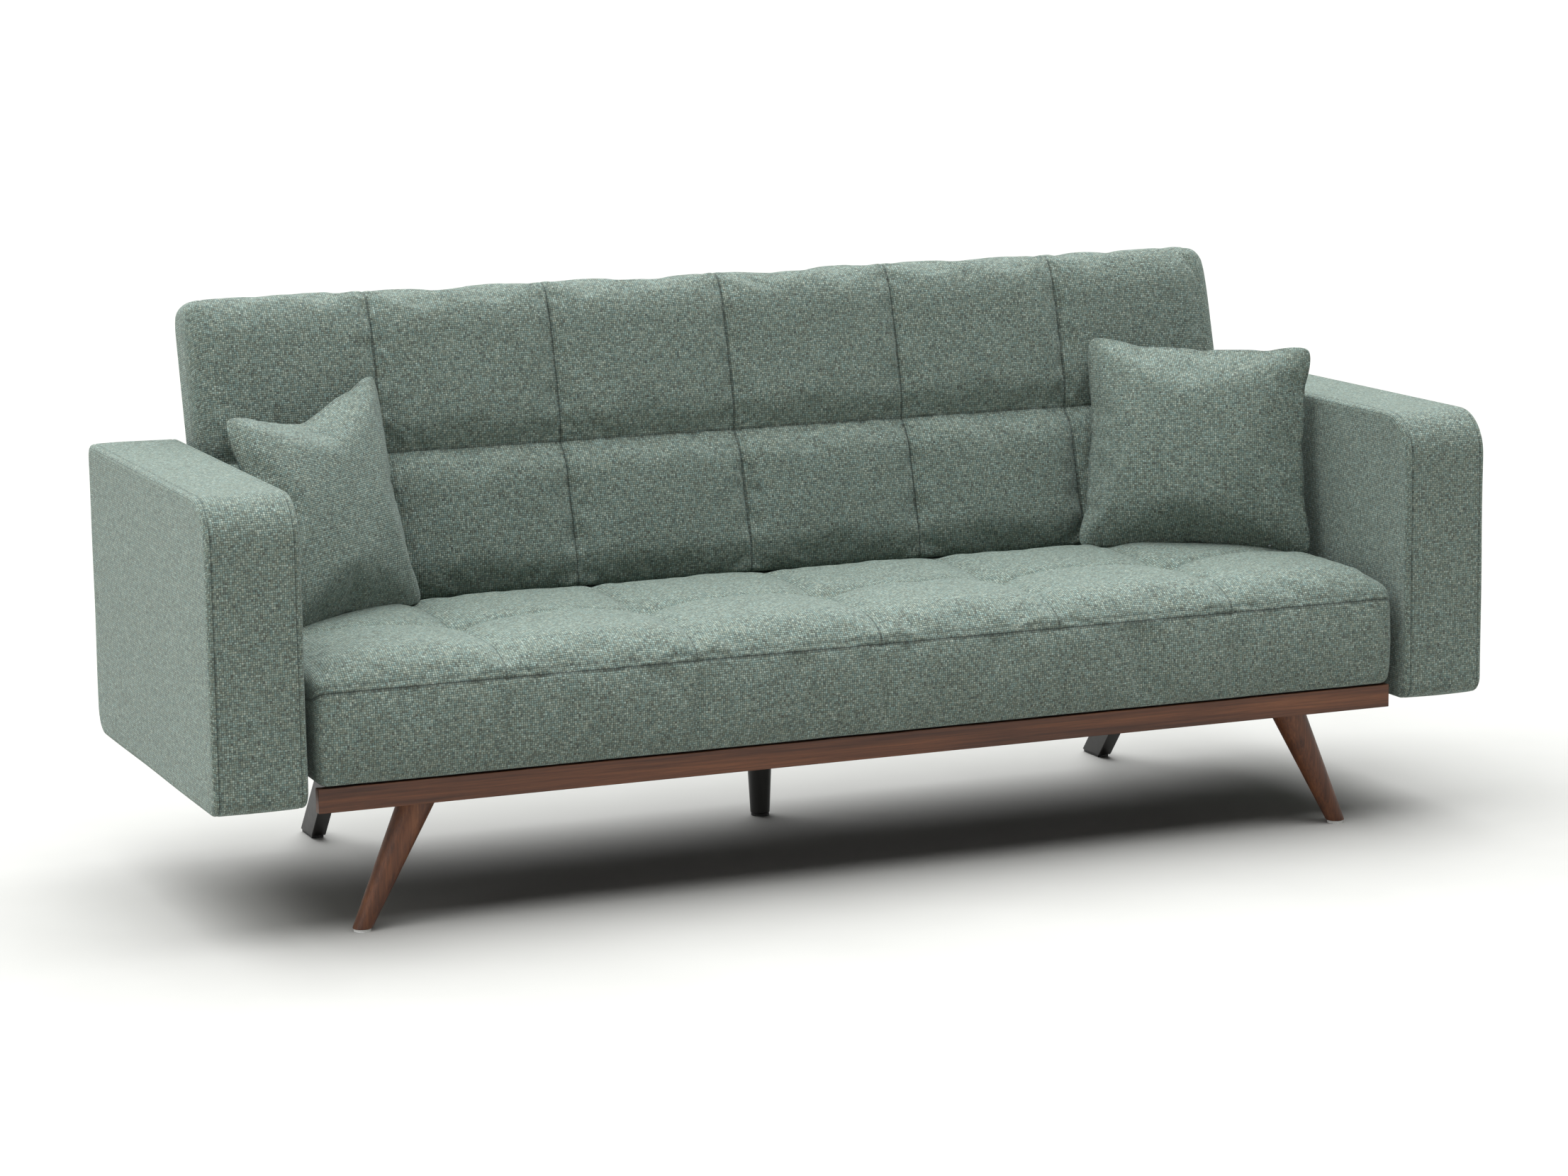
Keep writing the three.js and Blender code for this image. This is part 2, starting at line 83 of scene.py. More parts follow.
# %% Camera
CAMERA_PLACE = (-2.585, -6.250, 1.579)
CAMERA_TURN = math.radians(-22.38)
CAMERA_DOWN = math.radians(9.863)
CAMERA_ROLL = math.radians(-0.758)
LENS = 98.0
SENSOR_WIDTH = 36.0


def make_camera():
    data = bpy.data.cameras.new("camera")
    data.lens = LENS
    data.sensor_width = SENSOR_WIDTH
    camera = bpy.data.objects.new("camera", data)
    turn = Matrix.Rotation(CAMERA_TURN, 4, "Z")
    tip = Matrix.Rotation(math.pi / 2 - CAMERA_DOWN, 4, "X")
    roll = Matrix.Rotation(CAMERA_ROLL, 4, "Z")
    camera.matrix_world = Matrix.Translation(CAMERA_PLACE) @ turn @ tip @ roll
    bpy.context.scene.collection.objects.link(camera)
    bpy.context.scene.camera = camera
    print("camera at", CAMERA_PLACE, "lens", LENS)


make_camera()

# %% [markdown]
# A studio lights a sofa softly from above. That light could be a ceiling of panels, but one sun with a
# very wide disc gives the same soft edge at less cost: the tops are bright and the fronts stay deep. A
# softbox close by the left arm falls off across the sofa, and a faint even world opens the shadows.

# %% Light
def sun_light(name, lean_left, lean_rear, spread, strength, tint):
    data = bpy.data.lights.new(name, "SUN")
    data.angle = math.radians(spread)
    data.energy = strength
    data.color = tint
    light = bpy.data.objects.new(name, data)
    light.rotation_euler = Vector((-lean_left, lean_rear, 1)).to_track_quat("Z", "Y").to_euler()
    bpy.context.scene.collection.objects.link(light)
    print("light", name, strength)


def area_light(name, place, target, size, power):
    data = bpy.data.lights.new(name, "AREA")
    data.shape = "RECTANGLE"
    data.size = size[0]
    data.size_y = size[1]
    data.energy = power
    light = bpy.data.objects.new(name, data)
    light.location = place
    light.rotation_euler = (Vector(target) - Vector(place)).to_track_quat("-Z", "Y").to_euler()
    bpy.context.scene.collection.objects.link(light)
    print("light", name, power)


sun_light("overhead", lean_left=0.03, lean_rear=0.20, spread=94, strength=8.0, tint=(0.97, 1.0, 1.02))
area_light("left_softbox", place=(-2.9, -0.9, 1.15), target=(-0.9, 0, 0.45), size=(1.3, 1.7), power=14)

world = bpy.data.worlds.new("studio")
bpy.context.scene.world = world
world.use_nodes = True
sky = world.node_tree.nodes["Background"].inputs
sky["Color"].default_value = (1.0, 1.0, 1.0, 1.0)
sky["Strength"].default_value = 0.04
bpy.context.scene.view_settings.view_transform = "Standard"

# %% [markdown]
# A finish is layers: a colour, what breaks it up, how rough it is and how it stands up. Each could be
# wired by hand, link by link, but one helper that adds a node with its settings and links lets a material
# read as that list of layers. Colours are the sRGB hex of a paint chart, turned to linear once.

# %% Material helpers
def linear(hex_colour):
    values = [int(hex_colour[i : i + 2], 16) / 255 for i in (1, 3, 5)]
    curve = [v / 12.92 if v <= 0.04045 else ((v + 0.055) / 1.055) ** 2.4 for v in values]
    return (*curve, 1.0)


def wire(owner, *values, **named):
    """Fills a node's inputs in order or by name, each with a value or the output that feeds it."""
    live = [socket for socket in owner.inputs if socket.enabled]
    by_name = {socket.name.replace(" ", "_"): socket for socket in reversed(live)}
    for socket, value in [*zip(live, values), *((by_name[key], value) for key, value in named.items())]:
        if isinstance(value, bpy.types.NodeSocket):
            owner.id_data.links.new(value, socket)
        else:
            socket.default_value = value


def node(tree, kind, *values, out=None, stops=(), **named):
    """Adds a node and returns its first output, or the one that out names.

    kind is the node's type, followed by an operation where it has one. stops are the places and colours
    of a ramp. Names that aren't inputs are the node's settings.
    """
    kind, _, operation = kind.partition(" ")
    made = tree.nodes.new("ShaderNode" + kind)
    settings = {key: named.pop(key) for key in list(named) if hasattr(made, key)}
    if operation:
        settings["operation"] = operation
    for key, value in settings.items():
        setattr(made, key, value)
    while len(stops) > 2 and len(made.color_ramp.elements) < len(stops):
        made.color_ramp.elements.new(0.5)
    for i, (place, colour) in enumerate(stops):
        made.color_ramp.elements[i].position = place
        made.color_ramp.elements[i].color = linear(colour)
    wire(made, *values, **named)
    return made.outputs[out] if out else next(socket for socket in made.outputs if socket.enabled)


def new_material(name):
    material = bpy.data.materials.new(name)
    material.use_nodes = True
    print("material", name)
    return material, material.node_tree, material.node_tree.nodes["Principled BSDF"]


print("mid grey is", [round(v, 3) for v in linear("#808080")[:3]], "in linear light")

# %% [markdown]
# The cloth is a chunky plain weave of polyester yarn: warp and weft cross every 3.35 mm, and each yarn is
# spun from pale, sage and brown-green fibres, so the cloth looks heathered. Modelled yarns would be
# millions of faces, so the weave is a pattern in UV space, one unit to the metre, that follows the cloth.
# Each square of the checker lets one yarn ride over the other; its height drives the bump and paints shade into
# the gaps, and the seam attribute paints a thin shade line along each seam. A sheen lobe gives the soft bloom on
# surfaces seen edge on.

# %% Woven cloth
YARN_PITCH = 3.35 * MM
YARN_SHADES = (0.26, 0.40, 0.50, 0.60, 0.74)
SAGE_YARN = ("#48524e", "#5b6b66", "#6b7f79", "#7d918a", "#99aaa3")
OLIVE_YARN = ("#4a4a42", "#626558", "#747a6b", "#878d7d", "#a3a798")


def yarn_bead(tree, across, along):
    """Height of a yarn: round from side to side, and sinking where it dives under the next."""
    round_side = node(tree, "Math POWER", across, 0.6)
    return node(tree, "Math MULTIPLY", round_side, node(tree, "Math MULTIPLY_ADD", along, 0.5, 0.5))


def yarn_wave(tree, run):
    turned = node(tree, "Math MULTIPLY", run, math.pi)
    return node(tree, "Math ABSOLUTE", node(tree, "Math SINE", turned))


def woven_cloth(name="heathered_plain_weave_cloth"):
    material, tree, shader = new_material(name)
    uv = node(tree, "UVMap", uv_map="weave")
    in_yarns = node(tree, "Mapping", Vector=uv, Scale=(1 / YARN_PITCH,) * 3)
    drift = node(tree, "TexNoise", Vector=in_yarns, Scale=0.28, Detail=2.0, out="Color")
    centred = node(tree, "VectorMath SUBTRACT", drift, (0.5,) * 3)
    wavy = node(tree, "VectorMath MULTIPLY_ADD", centred, (0.55,) * 3, in_yarns)
    run_x, run_y, _ = node(tree, "SeparateXYZ", wavy).node.outputs
    cell_x = node(tree, "Math FLOOR", run_x)
    cell_y = node(tree, "Math FLOOR", run_y)
    odd = node(tree, "Math MODULO", node(tree, "Math ADD", cell_x, cell_y), 2.0)
    warp_on_top = node(tree, "Math ABSOLUTE", odd)

    across_warp = yarn_wave(tree, run_x)
    across_weft = yarn_wave(tree, run_y)
    weft_bead = yarn_bead(tree, across_weft, across_warp)
    warp_bead = yarn_bead(tree, across_warp, across_weft)
    height = node(tree, "Mix", warp_on_top, weft_bead, warp_bead, data_type="FLOAT")
    fuzz = node(tree, "TexNoise", Vector=in_yarns, Scale=1.9, Detail=3.0, Roughness=0.7)
    surface = node(tree, "Math MULTIPLY_ADD", fuzz, 0.45, height)

    # The shade drifts along each yarn, so flecks lie along the warp and the weft; some lean to olive.
    step_x = node(tree, "Math MULTIPLY", cell_x, 7.31)
    step_y = node(tree, "Math MULTIPLY", cell_y, 7.31)
    slow_x = node(tree, "Math MULTIPLY", run_x, 0.55)
    slow_y = node(tree, "Math MULTIPLY", run_y, 0.55)
    on_warp = node(tree, "CombineXYZ", X=step_x, Y=slow_y)
    on_weft = node(tree, "CombineXYZ", X=slow_x, Y=step_y, Z=3.7)
    along_yarn = node(tree, "Mix", warp_on_top, on_weft, on_warp, data_type="VECTOR")
    yarn_shade = node(tree, "TexNoise", Vector=along_yarn, Scale=1.0, Detail=2.0, Roughness=0.6)
    flecked = node(tree, "Math MULTIPLY_ADD", node(tree, "Math SUBTRACT", fuzz, 0.5), 0.50, yarn_shade)
    sage = node(tree, "ValToRGB", flecked, stops=[*zip(YARN_SHADES, SAGE_YARN)])
    olive = node(tree, "ValToRGB", flecked, stops=[*zip(YARN_SHADES, OLIVE_YARN)])
    hue_noise = node(tree, "SeparateColor", yarn_shade.node.outputs["Color"], out="Green")
    hue = node(tree, "ValToRGB", hue_noise, stops=[(0.36, "#000000"), (0.60, "#e6e6e6")])
    fibre = node(tree, "Mix", hue, sage, olive, data_type="RGBA")

    # Painted shade: the weave's height darkens the gaps between yarns, and the seam attribute darkens the cloth
    # along every seam in a thin painted shadow line.
    gap_shadow = node(tree, "Math MULTIPLY_ADD", height, 0.85, 0.30)
    seam = node(tree, "Attribute", attribute_name="seam", out="Fac")
    seam_shade_factor = node(tree, "Math MULTIPLY_ADD", seam, -0.72, 1.0)
    gap_and_seam_shade = node(tree, "Math MULTIPLY", gap_shadow, seam_shade_factor)
    shaded = node(tree, "Mix", 1.0, fibre, gap_and_seam_shade, data_type="RGBA", blend_type="MULTIPLY")
    bump = node(tree, "Bump", Height=surface, Strength=0.65, Distance=0.0011)
    wire(shader, Base_Color=shaded, Normal=bump, Roughness=0.85, Specular_IOR_Level=0.3,
         Sheen_Weight=0.22, Sheen_Roughness=0.45, Sheen_Tint=linear("#dfeae6"))
    return material


cloth = woven_cloth()
print("cloth nodes", len(cloth.node_tree.nodes))

# %% [markdown]
# The front rail and legs are walnut with a satin lacquer: straight grain in long streaks with slow bands,
# fine pores and a little gloss. One noise could colour it all, but real wood has three scales at once,
# so three noises are stretched along the wood, each at the real size of a streak, a pore or a band.

# %% Walnut
WALNUT_TONES = [(0.38, "#3a2012"), (0.50, "#502d19"), (0.60, "#623920"), (0.72, "#77492b")]


def streaks(tree, along, width, length, **noise):
    """Noise drawn out along the wood: each streak is about width across and length long."""
    scale = [1 / width] * 3
    scale[along] = 1 / length
    place = node(tree, "TexCoord", out="Object")
    at = node(tree, "Mapping", Vector=place, Scale=scale)
    return node(tree, "TexNoise", Vector=at, Scale=1.0, **noise)


def walnut(name, along):
    material, tree, shader = new_material(name)
    grain = streaks(tree, along, 3.5 * MM, 160 * MM, Detail=4.0, Roughness=0.6)
    pores = streaks(tree, along, 0.9 * MM, 14 * MM, Detail=2.0)
    bands = streaks(tree, along, 22 * MM, 900 * MM, Detail=2.0)
    tone = node(tree, "Math MULTIPLY_ADD", bands, 0.6, node(tree, "Math MULTIPLY", grain, 0.5))
    wood = node(tree, "ValToRGB", tone, stops=WALNUT_TONES)
    pore_dark = node(tree, "Math MULTIPLY_ADD", pores, 0.5, 0.72)
    toned = node(tree, "Mix", 1.0, wood, pore_dark, data_type="RGBA", blend_type="MULTIPLY")
    rough = node(tree, "Math MULTIPLY_ADD", pores, 0.16, 0.42)
    bump = node(tree, "Bump", Height=pores, Strength=0.25, Distance=0.0002)
    wire(shader, Base_Color=toned, Roughness=rough, Normal=bump)
    return material


walnut_rail = walnut("satin_walnut_rail", 0)
walnut_leg = walnut("satin_walnut_leg", 2)

# %% [markdown]
# The rest is sprayed lacquer, zinc plate, moulded plastic, sawn pine and spun lining. Each could be one
# flat colour, but nothing real is that even, so a single function breaks a colour up by noise at the
# finish's own grit size, and the roughness and relief follow the same noise.

# %% Plain finishes
def plain_finish(name, dark, light, roughness, grit, metallic=0.0, stretch=(1, 1, 1), relief=0.0001):
    material, tree, shader = new_material(name)
    place = node(tree, "TexCoord", out="Object")
    at = node(tree, "Mapping", Vector=place, Scale=[1 / (grit * s) for s in stretch])
    noise = node(tree, "TexNoise", Vector=at, Scale=1.0, Detail=4.0, Roughness=0.6)
    colour = node(tree, "ValToRGB", noise, stops=[(0.35, dark), (0.65, light)])
    rough = node(tree, "Math MULTIPLY_ADD", noise, 0.18, roughness - 0.09)
    bump = node(tree, "Bump", Height=noise, Strength=0.3, Distance=relief)
    wire(shader, Base_Color=colour, Roughness=rough, Normal=bump, Metallic=metallic)
    return material


black_lacquer = plain_finish("black_satin_lacquer", "#0f0d0c", "#191715", 0.42, 2 * MM, stretch=(1, 6, 6))
zinc_plate = plain_finish("zinc_plated_steel", "#8b8f92", "#a9adb0", 0.38, 6 * MM, metallic=1.0)
white_glide = plain_finish("moulded_white_polyethylene", "#dededb", "#f0f0ee", 0.45, 1.5 * MM)
black_pad = plain_finish("moulded_black_polyethylene", "#121212", "#1c1c1c", 0.5, 1.5 * MM)
pine = plain_finish("sawn_pine", "#b98f5c", "#d9b683", 0.75, 5 * MM, stretch=(14, 1, 1), relief=0.0004)
lining = plain_finish("spun_bonded_lining", "#1b1b1b", "#2b2b2b", 0.9, 1.2 * MM, relief=0.0003)

# %% [markdown]
# A cutter draws a pad's section on paper before cutting foam. The same outline could be a Bezier curve,
# but a few points with a smooth run through them are easy to place by measure, and the points can be
# crowded where a seam lies, so that the crease there can be sharp.

# %% Outlines
def crowded(start, end, count, crowd):
    """count places from start towards end, closer together at both ends."""
    t = np.linspace(0, 1, count, endpoint=False)
    return start + (end - start) * (t - crowd * np.sin(2 * math.pi * t) / (2 * math.pi))


def smooth_run(points, count, crowd=0.0):
    """count points along a smooth curve through a few points, without the last one."""
    control = np.array(points, float)
    ends = np.vstack([2 * control[0] - control[1], control, 2 * control[-1] - control[-2]])
    fine = []
    for i in range(1, len(ends) - 2):
        p0, p1, p2, p3 = ends[i - 1 : i + 3]
        for t in np.linspace(0, 1, 40, endpoint=False):
            line = 2 * p1 + (p2 - p0) * t
            bend = (2 * p0 - 5 * p1 + 4 * p2 - p3) * t**2
            twist = (3 * p1 - p0 - 3 * p2 + p3) * t**3
            fine.append(0.5 * (line + bend + twist))
    fine = np.array([*fine, control[-1]])
    length = np.concatenate([[0], np.cumsum(np.linalg.norm(np.diff(fine, axis=0), axis=1))])
    at = crowded(0, length[-1], count, crowd)
    return [tuple(np.interp(a, length, fine[:, k]) for k in (0, 1)) for a in at]


def chain(*runs):
    """Joins runs of points into one outline, and says where each run starts."""
    starts = np.cumsum([0, *(len(run) for run in runs)])
    return [point for run in runs for point in run], [int(start) for start in starts]


def end_of(half, radius, crown):
    """Stations that round an end over and close it: place along X, inset, and shrink to the middle."""
    turns = [math.radians(a) for a in (22, 45, 67, 90)]
    shrinks = (0.05, 0.14, 0.3, 0.52, 0.78)
    rounded = [(half - radius * (1 - math.sin(a)), radius * (1 - math.cos(a)), 0.0) for a in turns]
    return rounded + [(half + crown * (1 - (1 - s) ** 2), radius, s) for s in shrinks]


def mirrored(stations):
    return [(-x, inset, shrink) for x, inset, shrink in stations[::-1]]


print("eight places crowded at the ends", np.round(crowded(0, 1, 8, 0.6), 3))


# %% [markdown]
# A padded body is one length of cloth wrapped over foam. A cube could be cut and sculpted to it, but its
# points would follow no seam. Here the outline is a loop of edges at one end, extruded along X from
# station to station; the last ones shrink to the middle, which rounds the end over and closes it. Each
# point keeps its place round the outline, so that the weave is laid by X and by the length round it:
# square over every bend, as cut cloth lies.

# %% Lofting a padded body
def close_end(bm, edges, order):
    """Closes a ring with a ladder of four-sided faces, which subdivides quickly and smoothly."""
    ring = sorted({vert for edge in edges for vert in edge.verts}, key=lambda vert: vert[order])
    last = len(ring) - 1
    for i in range(last // 2):
        bm.faces.new(dict.fromkeys([ring[i], ring[i + 1], ring[last - i - 1], ring[last - i]]))


def loft(name, ring, stations):
    bm = bmesh.new()
    weave = bm.loops.layers.uv.new("weave")
    order = bm.verts.layers.int.new("order")
    station = bm.verts.layers.int.new("station")
    outline = np.array(ring)
    centre = (outline.min(0) + outline.max(0)) / 2
    extent = (outline.max(0) - outline.min(0)) / 2
    steps = np.linalg.norm(outline - np.roll(outline, -1, 0), axis=1)
    reach = np.concatenate([[0], np.cumsum(steps)])
    rings = [
        (x, centre + (outline - centre) * (1 - inset / extent) * (1 - shrink))
        for x, inset, shrink in stations
    ]
    strides = [abs(b[0] - a[0]) + abs(b[1] - a[1]) for a, b in zip(stations, stations[1:])]
    across = np.cumsum([0] + strides)
    verts = [bm.verts.new((rings[0][0], *yz)) for yz in rings[0][1]]
    for i, vert in enumerate(verts):
        vert[order] = i
    edges = [bm.edges.new((a, b)) for a, b in zip(verts, verts[1:] + verts[:1])]
    first_ring = list(edges)
    for k, (x, yz) in enumerate(rings[1:], 1):
        grown = bmesh.ops.extrude_edge_only(bm, edges=edges)["geom"]
        for vert in (g for g in grown if isinstance(g, bmesh.types.BMVert)):
            vert.co = (x, *yz[vert[order]])
            vert[station] = k
        grown_edges = [g for g in grown if isinstance(g, bmesh.types.BMEdge)]
        edges = [edge for edge in grown_edges if edge.verts[0][station] == edge.verts[1][station]]
    close_end(bm, first_ring, order)
    close_end(bm, edges, order)
    for face in bm.faces:
        orders = [vert[order] for vert in face.verts]
        wraps = min(orders) == 0 and max(orders) == len(ring) - 1
        flat = any(stations[vert[station]][2] > 0 for vert in face.verts)
        for loop in face.loops:
            i = loop.vert[order]
            length = reach[-1] if wraps and i == 0 else reach[i]
            loop[weave].uv = loop.vert.co.yz if flat else (across[loop.vert[station]], length)
    bmesh.ops.recalc_face_normals(bm, faces=bm.faces)
    mesh = bpy.data.meshes.new(name)
    bm.to_mesh(mesh)
    bm.free()
    piece = bpy.data.objects.new(name, mesh)
    bpy.context.scene.collection.objects.link(piece)
    print(name, len(mesh.vertices), "points")
    return piece, numbers_of(mesh, "order"), numbers_of(mesh, "station")


def numbers_of(mesh, name):
    values = np.zeros(len(mesh.vertices), int)
    mesh.attributes[name].data.foreach_get("value", values)
    return values


def points_of(mesh):
    flat = np.zeros(len(mesh.vertices) * 3)
    mesh.vertices.foreach_get("co", flat)
    return flat.reshape(-1, 3)


def set_points(mesh, points):
    mesh.vertices.foreach_set("co", points.ravel())
    mesh.update()


# Stores how much painted shade each point gets along the seams, from 0 to 1, in the seam attribute that darkens
# the cloth.
def paint_seam_shade(mesh, amount):
    mesh.attributes.new("seam", "FLOAT", "POINT").data.foreach_set("value", np.asarray(amount, float))


# %% [markdown]
# Padding swells between its seams. It could be sculpted, but the small puckers along stitching come
# from real tension, so a cloth simulation makes them: the seams are pinned, the cloth is let out a little
# and a gentle pressure fills it. The movement is capped, so the pad stays the size that its foam is.

# %% Cloth simulation
CLOTH_MASS = 0.25
SHEAR_STIFFNESS = 6
BENDING_STIFFNESS = 0.6


def fill_with_foam(piece, held, pressure, slack, most, frames=20, stiffness=18.0):
    """held: how firmly each point stays, 1 at a seam and 0 in a free panel."""
    start = points_of(piece.data)
    group = piece.vertex_groups.new(name="held")
    steps = np.round(held, 2)
    for weight in np.unique(steps[steps > 0]):
        group.add(np.nonzero(steps == weight)[0].tolist(), float(weight), "REPLACE")
    swell = piece.modifiers.new("swell", "CLOTH")
    settings = swell.settings
    settings.quality = 4
    settings.mass = CLOTH_MASS
    settings.tension_stiffness = stiffness
    settings.compression_stiffness = stiffness
    settings.shear_stiffness = SHEAR_STIFFNESS
    settings.bending_stiffness = BENDING_STIFFNESS
    settings.use_pressure = True
    settings.uniform_pressure_force = pressure
    settings.vertex_group_mass = "held"
    settings.shrink_min = -slack
    settings.effector_weights.gravity = 0
    swell.collision_settings.use_collision = False
    scene = bpy.context.scene
    scene.frame_start = 1
    scene.frame_end = frames
    for step in range(1, frames + 1):
        scene.frame_set(step)
    graph = bpy.context.evaluated_depsgraph_get()
    swollen = points_of(piece.evaluated_get(graph).data)
    piece.modifiers.remove(swell)
    piece.vertex_groups.clear()
    scene.frame_set(1)
    move = swollen - start
    length = np.linalg.norm(move, axis=1, keepdims=True)
    move *= most * np.tanh(length / most) / np.maximum(length, 1e-9)
    set_points(piece.data, start + move)
    print(piece.name, "swelled", round(float(length.max()) / MM, 1), "mm, capped", round(most / MM, 1))


# %% [markdown]
# Every soft piece is covered in the same cloth, rides on the body that carries it and stands for a plain
# solid of the frame. One level of subdivision rounds the mesh; denser modelling would give the same
# curves, but a modifier leaves the seam points where they were placed.

# %% Covering a soft piece
def finish_soft(piece, body, nodes):
    piece.data.materials.append(cloth)
    piece.data.polygons.foreach_set("use_smooth", [True] * len(piece.data.polygons))
    smooth = piece.modifiers.new("round_off", "SUBSURF")
    smooth.levels = 1
    smooth.render_levels = 1
    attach(piece, body)
    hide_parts(*nodes)
    print(piece.name, "rides on", body, "and stands for", nodes)


# %% [markdown]
# How sewn padding sits: panels crown in the middle, dip into a narrow groove at each seam, and are drawn
# down where a tuft ties the seams together, with small puckers round it. A brush could shape each one,
# but here the distances to the seams and tufts drive them all, so the seat and the back share the same
# few functions and every panel is a little like its neighbour.

# %% Quilting
def hump(t, power=0.6):
    return np.sin(math.pi * np.clip(t, 0, 1)) ** power


def step(value, start, end):
    t = np.clip((value - start) / (end - start), 0, 1)
    return t * t * (3 - 2 * t)


def across_panels(x, half):
    """Place across each panel from 0 to 1, and the distance to the nearest seam between panels."""
    edges = np.array([-half, *column_seams, half])
    panel = np.clip(np.searchsorted(edges, x) - 1, 0, len(edges) - 2)
    place = (x - edges[panel]) / (edges[panel + 1] - edges[panel])
    return place, np.abs(x[:, None] - edges[None, 1:-1]).min(1)


def tuft_pull(to_column, up, depth, width):
    away = np.hypot(to_column, up)
    angle = np.arctan2(up, to_column)
    pucker = 1.2 * MM * np.cos(7 * angle) * (away / (22 * MM)) * np.exp(-away / (22 * MM))
    return depth * np.exp(-((away / width) ** 1.3)) - pucker, away


def unevenness(points, amount, size):
    """Slow waves, as hand-packed foam leaves."""
    x, y, z = (points / size).T
    first = np.sin(1.7 * x + 0.9 * y + 2.1)
    second = np.sin(-1.1 * x + 1.9 * z + 0.4)
    third = np.sin(2.3 * x + 1.3 * z - 1.2 * y)
    return amount * (first + second + third) / 3


print("a panel crowns to", np.round(hump(np.array([0.1, 0.3, 0.5])), 2), "of its height on the way in")


# %% [markdown]
# The seat is one wide pad in two rows of six panels. A border runs round its front, joined to the top by
# a seam with a row of top stitching, and its rear edge is a bullnose that the back rolls over. Twelve
# little cushions could be set side by side, but the real cover is one piece, so its whole section is
# drawn once here and lofted across.

# %% Seat section
border_top = seat_low.z + 142 * MM
cross_seam = front + 255 * MM
nose_top = hinge.z + bullnose
seat_face = seat_low.y


def seat_ring():
    low = seat_low.z
    border = [(seat_face + 16 * MM, low + 1 * MM), (seat_face + 4 * MM, low + 12 * MM),
              (seat_face - 1 * MM, low + 70 * MM), (seat_face + 3 * MM, border_top)]
    roll = [(seat_face + 3 * MM, border_top), (seat_face + 13 * MM, border_top + 17 * MM),
            (seat_face + 45 * MM, border_top + 25 * MM), (seat_face + 120 * MM, border_top + 29 * MM),
            (cross_seam, border_top + 31 * MM)]
    rear = [(cross_seam, border_top + 31 * MM), (front + 400 * MM, border_top + 31 * MM),
            (hinge.y - 60 * MM, nose_top), (hinge.y, nose_top)]
    turns = np.linspace(0, math.pi / 2, 9)
    nose = [(hinge.y + bullnose * math.sin(a), hinge.z + bullnose * math.cos(a)) for a in turns]
    rear_face = [(seat_high.y, z) for z in np.linspace(hinge.z, low + 16 * MM, 6)[1:]]
    under = [(y, low + 2.1 * MM) for y in np.linspace(seat_high.y - 12 * MM, seat_face + 40 * MM, 7)]
    return chain(smooth_run(border, 14, 0.55), smooth_run(roll, 32, 0.6), smooth_run(rear, 34, 0.5), nose,
                 rear_face, under)


def panelled(half, radius, count=34):
    """Stations crowded at the column seams, with both ends rounded over; and which are the seams."""
    marks = [-half + radius, *column_seams, half - radius]
    middle = [(x, 0.0, 0.0) for a, b in zip(marks, marks[1:]) for x in crowded(a, b, count, 0.62)]
    end = end_of(half, radius, 0.0)
    stations = mirrored(end) + middle + [(half - radius, 0.0, 0.0)] + end
    return stations, [len(end) + count * (i + 1) for i in range(len(column_seams))]


print("seat section of", len(seat_ring()[0]), "points, border top at", round(border_top, 4))

# %% [markdown]
# Five tufts hold the seat's cross seam down, and the cloth arches between them. The foam's height is
# worked out from the distance to each seam, so an arch is high far from a tuft and low near it. Where the
# back rolls over the bullnose the pad stays plain, and its ends draw in beside the hinge plates.

# %% Seat
FRONT_CROWN = 18 * MM
REAR_CROWN = 13.5 * MM
CROSS_GROOVE = 9 * MM
COLUMN_GROOVE = 1.8 * MM
TUFT_DEPTH = 7 * MM
BESIDE_PLATE = 16 * MM
plain_from = front + 545 * MM


def seat_lift(points, x, y, top):
    """How far the foam lifts each point of the top, and the distance to the nearest tuft."""
    place, to_column = across_panels(x, seat_half)
    to_cross = np.abs(y - cross_seam)
    draw = 0.30 + 0.70 * np.exp(-to_cross / (85 * MM))
    fade_in = step(y, seat_face + 2 * MM, seat_face + 80 * MM)
    fade_out = 1 - step(y, front + 470 * MM, front + 540 * MM)
    crown = np.where(y < cross_seam, FRONT_CROWN, REAR_CROWN) * fade_in * fade_out
    at_end = step(seat_half - np.abs(x), 0, 45 * MM)
    pull, to_tuft = tuft_pull(to_column, y - cross_seam, TUFT_DEPTH, 42 * MM)
    lift = crown * (1 - draw * (1 - hump(place, 0.6))) * at_end
    behind = np.where(y > cross_seam, 8 * MM * np.exp(-to_cross / (34 * MM)), 0)
    lift = lift - (CROSS_GROOVE * np.exp(-to_cross / (6 * MM)) + behind) * at_end - pull
    before_nose = 1 - step(y, front + 500 * MM, front + 540 * MM)
    lift = lift - COLUMN_GROOVE * np.exp(-to_column / (4 * MM)) * before_nose
    waves = unevenness(points, 1.2 * MM, 60 * MM) * step(y, seat_face, seat_face + 60 * MM)
    return np.where(top & (y < plain_from), lift + waves * at_end, 0), to_tuft


